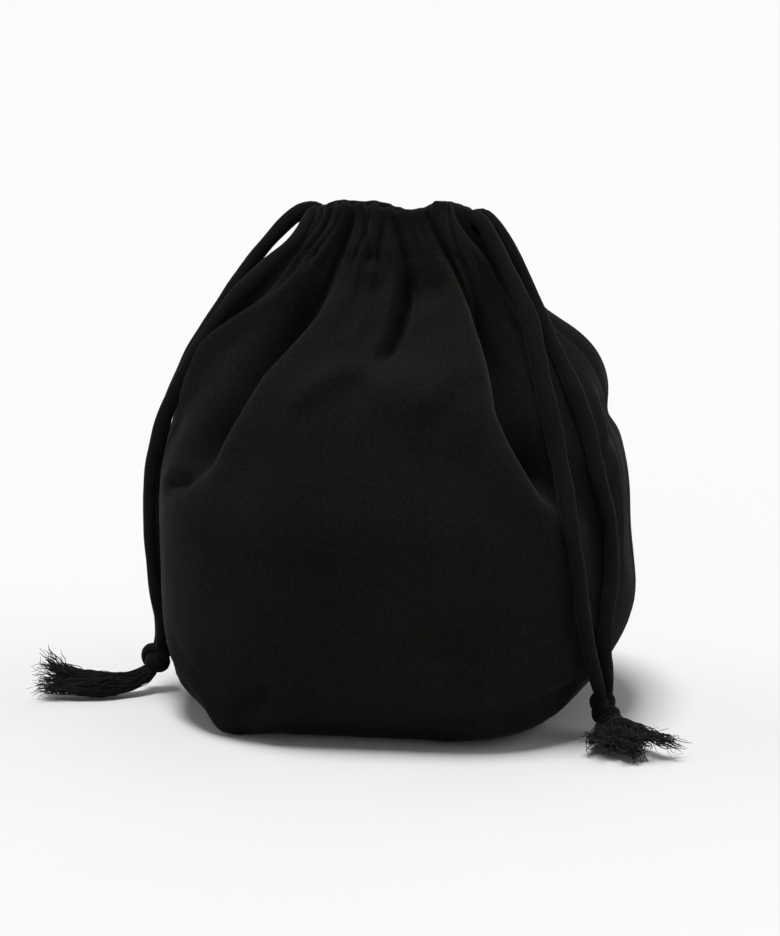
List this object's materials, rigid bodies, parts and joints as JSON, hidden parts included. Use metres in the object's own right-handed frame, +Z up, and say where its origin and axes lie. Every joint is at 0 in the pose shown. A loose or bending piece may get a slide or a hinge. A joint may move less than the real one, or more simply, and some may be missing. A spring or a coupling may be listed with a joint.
{
  "type": "drawstring pouch",
  "caption": "Black cotton drawstring pouch, standing full, with a gathered mouth, a fold-over casing and knotted cords that end in frayed tassels.",
  "frame": {"origin": "centre of the pouch's footprint, on the surface it stands on", "axes": "+Z up, the pouch's front faces -Y, and the cords leave the casing at +X and -X"},
  "size_m": [0.2654, 0.172, 0.2065],
  "materials": {
    "cloth": "matte black plain-weave cotton with a faint nap",
    "cord": "soft flat black cotton cord",
    "frayed_end": "loose black cotton yarn"
  },
  "bodies": {
    "root": {"pouch_body": "cloth", "left_cord": "cord", "right_cord": "cord", "left_tassel": "frayed_end", "right_tassel": "frayed_end"}
  },
  "joints": []
}
